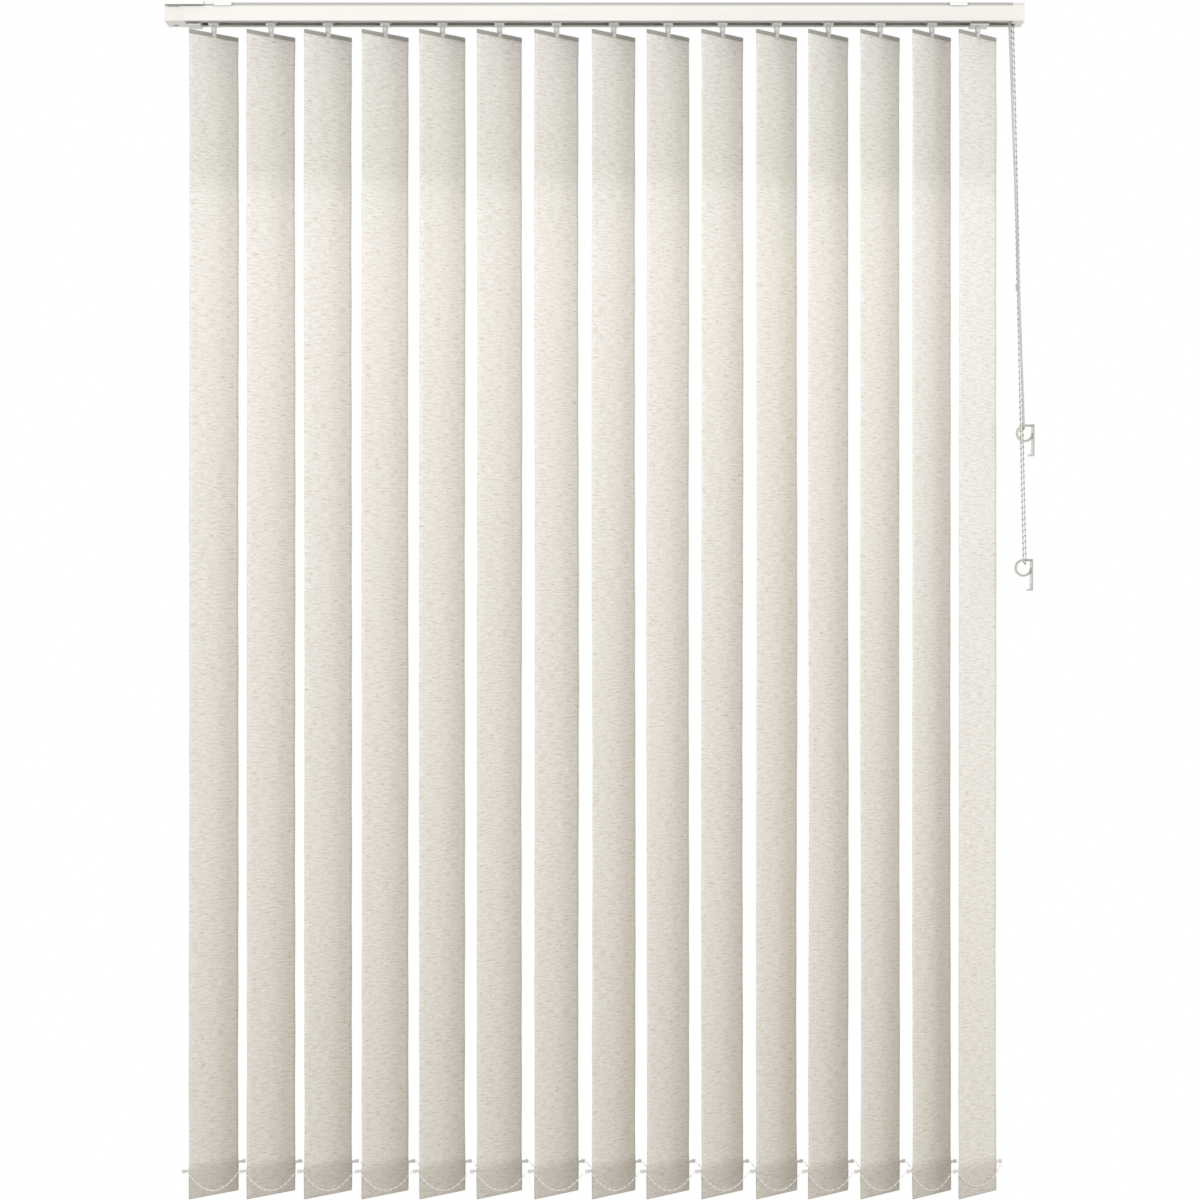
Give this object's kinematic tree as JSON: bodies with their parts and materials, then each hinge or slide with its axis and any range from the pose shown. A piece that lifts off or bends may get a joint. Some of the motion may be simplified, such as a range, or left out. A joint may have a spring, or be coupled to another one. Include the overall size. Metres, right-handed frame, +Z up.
{
  "type": "vertical blind",
  "caption": "Top-hung vertical blind: fabric slats hang from carriers that slide and turn in a headrail, worked by a cord and a bead chain.",
  "frame": {"origin": "on the ceiling, midway between the screw holes of the two ceiling clips", "axes": "X along the rail towards the control end, -Y towards the room, +Z up"},
  "size_m": [1.2018, 0.0862, 1.6505],
  "materials": {
    "rail_paint": "satin",
    "cap_plastic": "satin",
    "clip_paint": "satin",
    "rod_metal": "satin",
    "carrier_plastic": "satin",
    "fitting_plastic": "satin",
    "fabric": "matte",
    "cord": "matte",
    "bead_chain": "gloss",
    "wall_clip_plastic": "gloss",
    "pulley_plastic": "satin"
  },
  "bodies": {
    "rail": {"headrail": "rail_paint", "idle_end_cap": "cap_plastic", "control_end_cap": "cap_plastic", "ceiling_clips": "clip_paint", "control_cord": "cord", "control_chain": "bead_chain", "wall_clips": "wall_clip_plastic", "carrier_15": "carrier_plastic"},
    "tilt_drive": {"tilt_rod": "rod_metal", "chain_wheel": "pulley_plastic"},
    "pulley_front": {"cord_pulley_front": "pulley_plastic"},
    "pulley_rear": {"cord_pulley_rear": "pulley_plastic"},
    "pulley_idle": {"idle_pulley": "pulley_plastic"},
    "vane_01": {"fitting_01": "fitting_plastic", "slat_01": "fabric"},
    "runner_01": {"carrier_01": "carrier_plastic"},
    "vane_02": {"fitting_02": "fitting_plastic", "slat_02": "fabric"},
    "runner_02": {"carrier_02": "carrier_plastic"},
    "vane_03": {"fitting_03": "fitting_plastic", "slat_03": "fabric"},
    "runner_03": {"carrier_03": "carrier_plastic"},
    "vane_04": {"fitting_04": "fitting_plastic", "slat_04": "fabric"},
    "runner_04": {"carrier_04": "carrier_plastic"},
    "vane_05": {"fitting_05": "fitting_plastic", "slat_05": "fabric"},
    "runner_05": {"carrier_05": "carrier_plastic"},
    "vane_06": {"fitting_06": "fitting_plastic", "slat_06": "fabric"},
    "runner_06": {"carrier_06": "carrier_plastic"},
    "vane_07": {"fitting_07": "fitting_plastic", "slat_07": "fabric"},
    "runner_07": {"carrier_07": "carrier_plastic"},
    "vane_08": {"fitting_08": "fitting_plastic", "slat_08": "fabric"},
    "runner_08": {"carrier_08": "carrier_plastic"},
    "vane_09": {"fitting_09": "fitting_plastic", "slat_09": "fabric"},
    "runner_09": {"carrier_09": "carrier_plastic"},
    "vane_10": {"fitting_10": "fitting_plastic", "slat_10": "fabric"},
    "runner_10": {"carrier_10": "carrier_plastic"},
    "vane_11": {"fitting_11": "fitting_plastic", "slat_11": "fabric"},
    "runner_11": {"carrier_11": "carrier_plastic"},
    "vane_12": {"fitting_12": "fitting_plastic", "slat_12": "fabric"},
    "runner_12": {"carrier_12": "carrier_plastic"},
    "vane_13": {"fitting_13": "fitting_plastic", "slat_13": "fabric"},
    "runner_13": {"carrier_13": "carrier_plastic"},
    "vane_14": {"fitting_14": "fitting_plastic", "slat_14": "fabric"},
    "runner_14": {"carrier_14": "carrier_plastic"},
    "vane_15": {"fitting_15": "fitting_plastic", "slat_15": "fabric", "end_chain": "bead_chain"},
    "chain_front": {"bottom_chain_front": "bead_chain"},
    "chain_back": {"bottom_chain_back": "bead_chain"}
  },
  "joints": [
    {"name": "traverse", "type": "slide", "parent": "rail", "child": "runner_01", "axis": [1, 0, 0], "range_m": [0, 0.70953], "deforming": ["bottom_chain_front", "bottom_chain_back"]},
    {"name": "tilt", "type": "hinge", "parent": "runner_01", "child": "vane_01", "pos_m": [-0.5224, 0, 0], "axis": [0, 0, 1], "range_deg": [-36, 115]},
    {"name": "slide_02", "type": "slide", "parent": "rail", "child": "runner_02", "axis": [1, 0, 0], "range_m": [0, 0.65697]},
    {"name": "turn_02", "type": "hinge", "parent": "runner_02", "child": "vane_02", "pos_m": [-0.4432, 0, 0], "axis": [0, 0, 1], "range_deg": [-36.5, 115.5]},
    {"name": "slide_03", "type": "slide", "parent": "rail", "child": "runner_03", "axis": [1, 0, 0], "range_m": [0, 0.6039]},
    {"name": "turn_03", "type": "hinge", "parent": "runner_03", "child": "vane_03", "pos_m": [-0.364, 0, 0], "axis": [0, 0, 1], "range_deg": [-36.5, 115.5]},
    {"name": "slide_04", "type": "slide", "parent": "rail", "child": "runner_04", "axis": [1, 0, 0], "range_m": [0, 0.55083]},
    {"name": "turn_04", "type": "hinge", "parent": "runner_04", "child": "vane_04", "pos_m": [-0.2848, 0, 0], "axis": [0, 0, 1], "range_deg": [-36.5, 115.5]},
    {"name": "slide_05", "type": "slide", "parent": "rail", "child": "runner_05", "axis": [1, 0, 0], "range_m": [0, 0.49777]},
    {"name": "turn_05", "type": "hinge", "parent": "runner_05", "child": "vane_05", "pos_m": [-0.20559, 0, 0], "axis": [0, 0, 1], "range_deg": [-36.5, 115.5]},
    {"name": "slide_06", "type": "slide", "parent": "rail", "child": "runner_06", "axis": [1, 0, 0], "range_m": [0, 0.44471]},
    {"name": "turn_06", "type": "hinge", "parent": "runner_06", "child": "vane_06", "pos_m": [-0.12639, 0, 0], "axis": [0, 0, 1], "range_deg": [-36.5, 115.5]},
    {"name": "slide_07", "type": "slide", "parent": "rail", "child": "runner_07", "axis": [1, 0, 0], "range_m": [0, 0.39164]},
    {"name": "turn_07", "type": "hinge", "parent": "runner_07", "child": "vane_07", "pos_m": [-0.04719, 0, 0], "axis": [0, 0, 1], "range_deg": [-36.5, 115.5]},
    {"name": "slide_08", "type": "slide", "parent": "rail", "child": "runner_08", "axis": [1, 0, 0], "range_m": [0, 0.33858]},
    {"name": "turn_08", "type": "hinge", "parent": "runner_08", "child": "vane_08", "pos_m": [0.03201, 0, 0], "axis": [0, 0, 1], "range_deg": [-36.5, 115.5]},
    {"name": "slide_09", "type": "slide", "parent": "rail", "child": "runner_09", "axis": [1, 0, 0], "range_m": [0, 0.28811]},
    {"name": "turn_09", "type": "hinge", "parent": "runner_09", "child": "vane_09", "pos_m": [0.10733, 0, 0], "axis": [0, 0, 1], "range_deg": [-36.5, 115.5]},
    {"name": "slide_10", "type": "slide", "parent": "rail", "child": "runner_10", "axis": [1, 0, 0], "range_m": [0, 0.23765]},
    {"name": "turn_10", "type": "hinge", "parent": "runner_10", "child": "vane_10", "pos_m": [0.18265, 0, 0], "axis": [0, 0, 1], "range_deg": [-36.5, 115.5]},
    {"name": "slide_11", "type": "slide", "parent": "rail", "child": "runner_11", "axis": [1, 0, 0], "range_m": [0, 0.18718]},
    {"name": "turn_11", "type": "hinge", "parent": "runner_11", "child": "vane_11", "pos_m": [0.25797, 0, 0], "axis": [0, 0, 1], "range_deg": [-36.5, 115.5]},
    {"name": "slide_12", "type": "slide", "parent": "rail", "child": "runner_12", "axis": [1, 0, 0], "range_m": [0, 0.13916]},
    {"name": "turn_12", "type": "hinge", "parent": "runner_12", "child": "vane_12", "pos_m": [0.32965, 0, 0], "axis": [0, 0, 1], "range_deg": [-36.5, 115.5]},
    {"name": "slide_13", "type": "slide", "parent": "rail", "child": "runner_13", "axis": [1, 0, 0], "range_m": [0, 0.09113]},
    {"name": "turn_13", "type": "hinge", "parent": "runner_13", "child": "vane_13", "pos_m": [0.40132, 0, 0], "axis": [0, 0, 1], "range_deg": [-36.5, 115.5]},
    {"name": "slide_14", "type": "slide", "parent": "rail", "child": "runner_14", "axis": [1, 0, 0], "range_m": [0, 0.04311]},
    {"name": "turn_14", "type": "hinge", "parent": "runner_14", "child": "vane_14", "pos_m": [0.473, 0, 0], "axis": [0, 0, 1], "range_deg": [-36.5, 115.5]},
    {"name": "turn_15", "type": "hinge", "parent": "rail", "child": "vane_15", "pos_m": [0.5366, 0, 0], "axis": [0, 0, 1], "range_deg": [-36.5, 115.5]},
    {"name": "chain_swing_front", "type": "hinge", "parent": "vane_15", "child": "chain_front", "pos_m": [0.50013, -0.0405, -1.611], "axis": [0, 0, 1], "range_deg": [-115.5, 36.5]},
    {"name": "chain_swing_back", "type": "hinge", "parent": "vane_15", "child": "chain_back", "pos_m": [0.57307, 0.0405, -1.611], "axis": [0, 0, 1], "range_deg": [-115.5, 36.5]},
    {"name": "rod_spin", "type": "hinge", "parent": "rail", "child": "tilt_drive", "pos_m": [0, 0.0083, -0.015], "axis": [1, 0, 0], "range_deg": [-473, 1500]},
    {"name": "pulley_front_spin", "type": "hinge", "parent": "rail", "child": "pulley_front", "pos_m": [0.572, -0.01, -0.01495], "axis": [0, 1, 0], "range_deg": [-5691, 0]},
    {"name": "pulley_rear_spin", "type": "hinge", "parent": "rail", "child": "pulley_rear", "pos_m": [0.572, -0.002, -0.01495], "axis": [0, 1, 0], "range_deg": [0, 5691]},
    {"name": "idle_pulley_spin", "type": "hinge", "parent": "rail", "child": "pulley_idle", "pos_m": [-0.572, -0.006, -0.0078], "axis": [0, 0, 1], "range_deg": [-10169, 0]}
  ],
  "couplings": [
    {"joint": "slide_02", "follows": "traverse", "ratio": 0.92521},
    {"joint": "turn_02", "follows": "tilt", "ratio": 1},
    {"joint": "slide_03", "follows": "traverse", "ratio": 0.85042},
    {"joint": "turn_03", "follows": "tilt", "ratio": 1},
    {"joint": "slide_04", "follows": "traverse", "ratio": 0.77563},
    {"joint": "turn_04", "follows": "tilt", "ratio": 1},
    {"joint": "slide_05", "follows": "traverse", "ratio": 0.70085},
    {"joint": "turn_05", "follows": "tilt", "ratio": 1},
    {"joint": "slide_06", "follows": "traverse", "ratio": 0.62606},
    {"joint": "turn_06", "follows": "tilt", "ratio": 1},
    {"joint": "slide_07", "follows": "traverse", "ratio": 0.55127},
    {"joint": "turn_07", "follows": "tilt", "ratio": 1},
    {"joint": "slide_08", "follows": "traverse", "ratio": 0.47648},
    {"joint": "turn_08", "follows": "tilt", "ratio": 1},
    {"joint": "slide_09", "follows": "traverse", "ratio": 0.40536},
    {"joint": "turn_09", "follows": "tilt", "ratio": 1},
    {"joint": "slide_10", "follows": "traverse", "ratio": 0.33423},
    {"joint": "turn_10", "follows": "tilt", "ratio": 1},
    {"joint": "slide_11", "follows": "traverse", "ratio": 0.26311},
    {"joint": "turn_11", "follows": "tilt", "ratio": 1},
    {"joint": "slide_12", "follows": "traverse", "ratio": 0.19542},
    {"joint": "turn_12", "follows": "tilt", "ratio": 1},
    {"joint": "slide_13", "follows": "traverse", "ratio": 0.12774},
    {"joint": "turn_13", "follows": "tilt", "ratio": 1},
    {"joint": "slide_14", "follows": "traverse", "ratio": 0.060055},
    {"joint": "turn_14", "follows": "tilt", "ratio": 1},
    {"joint": "turn_15", "follows": "tilt", "ratio": 1},
    {"joint": "chain_swing_front", "follows": "tilt", "ratio": -1},
    {"joint": "chain_swing_back", "follows": "tilt", "ratio": -1},
    {"joint": "rod_spin", "follows": "tilt", "ratio": 13},
    {"joint": "pulley_front_spin", "follows": "traverse", "rad_per_m": -139.86},
    {"joint": "pulley_rear_spin", "follows": "traverse", "rad_per_m": 139.86},
    {"joint": "idle_pulley_spin", "follows": "traverse", "rad_per_m": -250}
  ]
}
